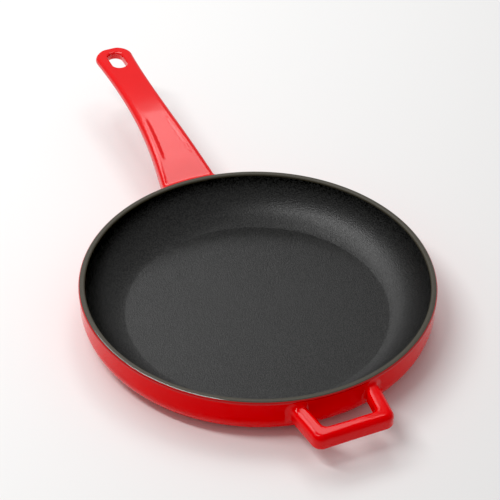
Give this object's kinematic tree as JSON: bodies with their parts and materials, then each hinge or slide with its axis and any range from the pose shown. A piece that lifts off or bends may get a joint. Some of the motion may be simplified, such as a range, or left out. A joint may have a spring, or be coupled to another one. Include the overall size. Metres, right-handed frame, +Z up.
{
  "type": "cast iron skillet",
  "caption": "Round enamelled cast iron frying pan with a rounded wall, a long rising handle with a hang hole and an open helper loop opposite.",
  "frame": {"origin": "centre of the flat underside, on the surface the pan stands on", "axes": "+Z up out of the pan, +Y along the long handle towards its tip, +X to the right seen from above with the handle pointing away"},
  "size_m": [0.28, 0.5004, 0.0555],
  "materials": {
    "iron": "as cast, under the enamel",
    "black_enamel": "matt black vitreous enamel with a fine pebbled surface",
    "rim_enamel": "satin dark grey vitreous enamel",
    "red_enamel": "glossy red vitreous enamel"
  },
  "bodies": {
    "root": {"pan_casting": "iron", "long_handle_casting": "iron", "helper_loop_casting": "iron", "cooking_surface_enamel": "black_enamel", "rim_enamel": "rim_enamel", "outside_enamel": "red_enamel", "base_enamel": "red_enamel", "handle_enamel": "red_enamel", "loop_enamel": "red_enamel"}
  },
  "joints": []
}
